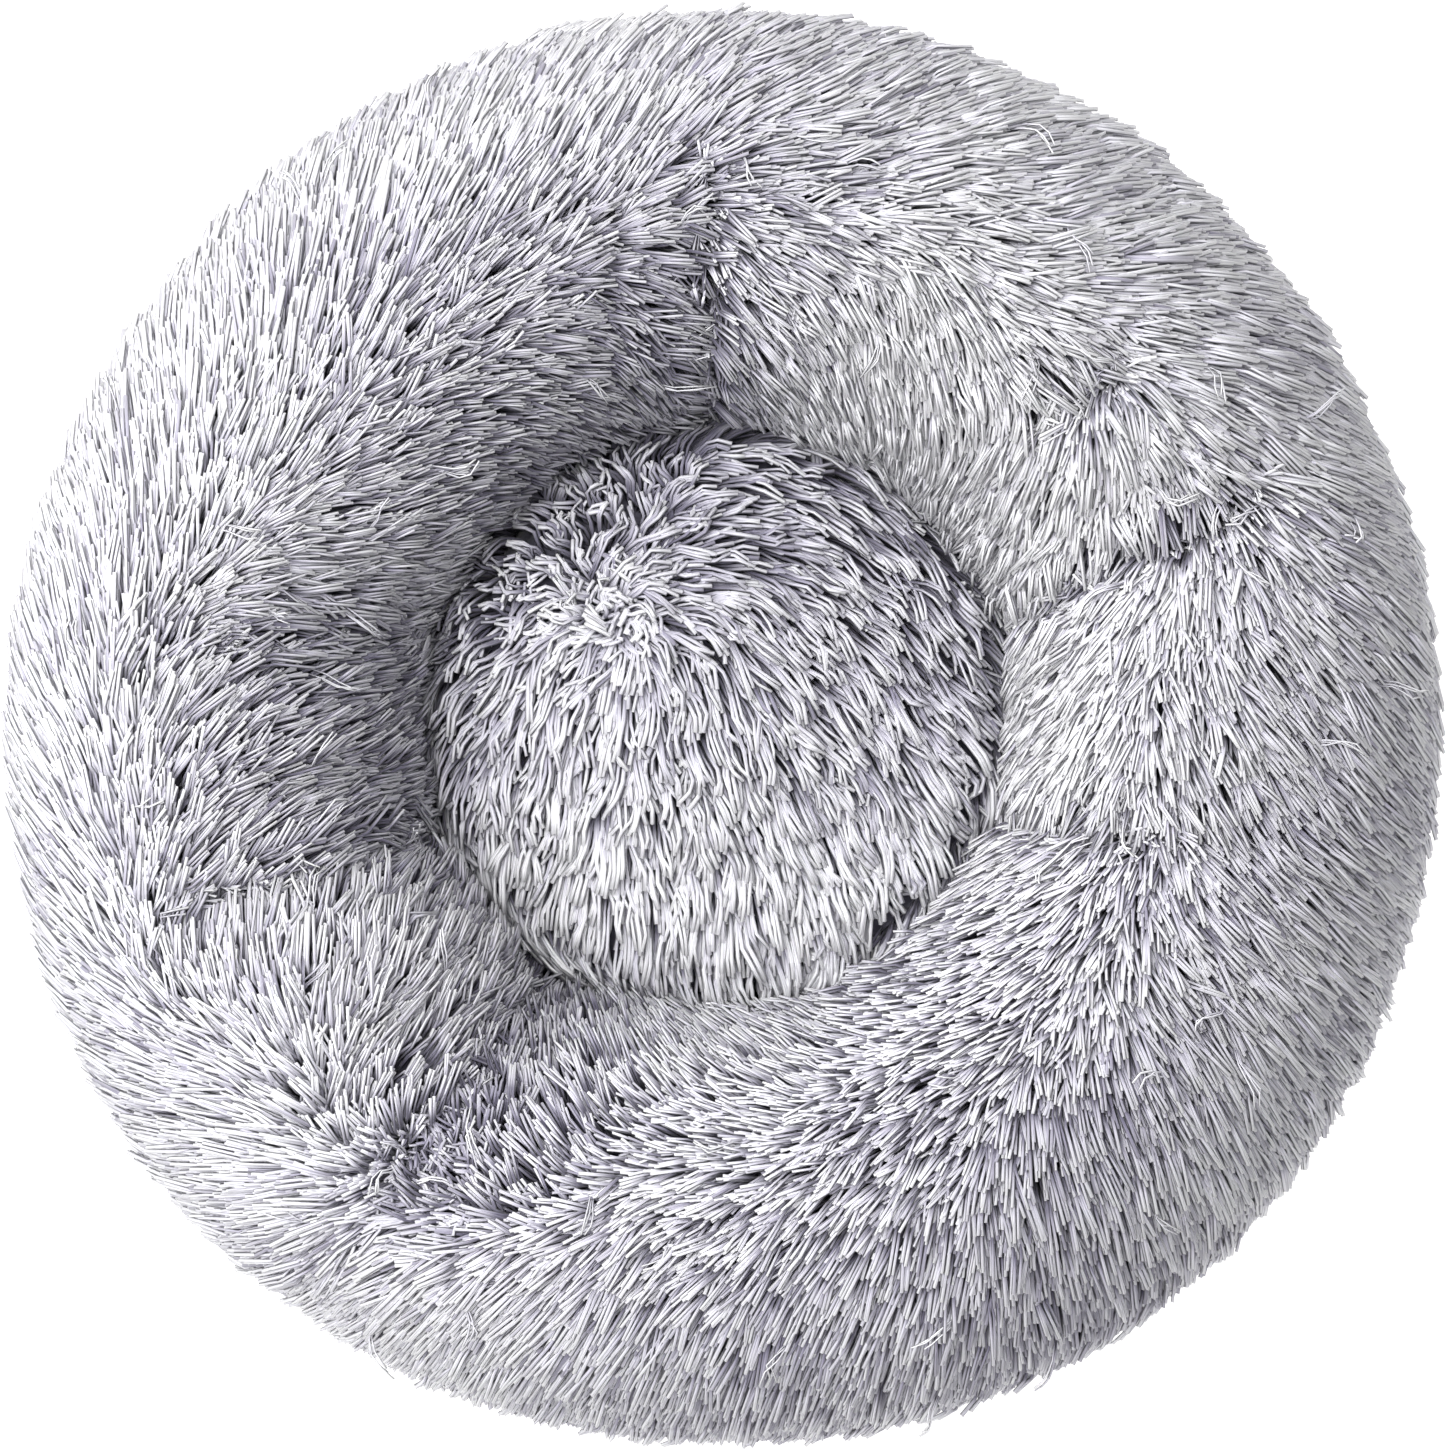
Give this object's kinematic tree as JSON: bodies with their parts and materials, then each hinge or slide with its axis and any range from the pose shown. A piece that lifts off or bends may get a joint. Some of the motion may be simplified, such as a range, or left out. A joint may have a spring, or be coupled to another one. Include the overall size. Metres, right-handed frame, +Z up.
{
  "type": "plush pet bed",
  "caption": "Round plush pet bed: a stuffed ring bolster of long fur pile around a domed centre cushion, on a flat cloth base.",
  "frame": {"origin": "middle of the bed's underside, on the floor", "axes": "+Z up out of the well; +Y points across the bed to the tuck that runs straight out from the well; +X to its right seen from above"},
  "size_m": [0.6, 0.6, 0.2005],
  "materials": {
    "bolster_plush": "long pile faux fur, lavender grey with white tips",
    "cushion_plush": "long pile faux fur, lavender grey with white tips",
    "base_cloth": "plain woven cloth, matt"
  },
  "bodies": {
    "root": {"bolster_northeast": "bolster_plush", "bolster_northwest": "bolster_plush", "bolster_southwest": "bolster_plush", "bolster_south": "bolster_plush", "bolster_east": "bolster_plush", "centre_cushion": "cushion_plush", "base_cloth": "base_cloth"}
  },
  "joints": []
}
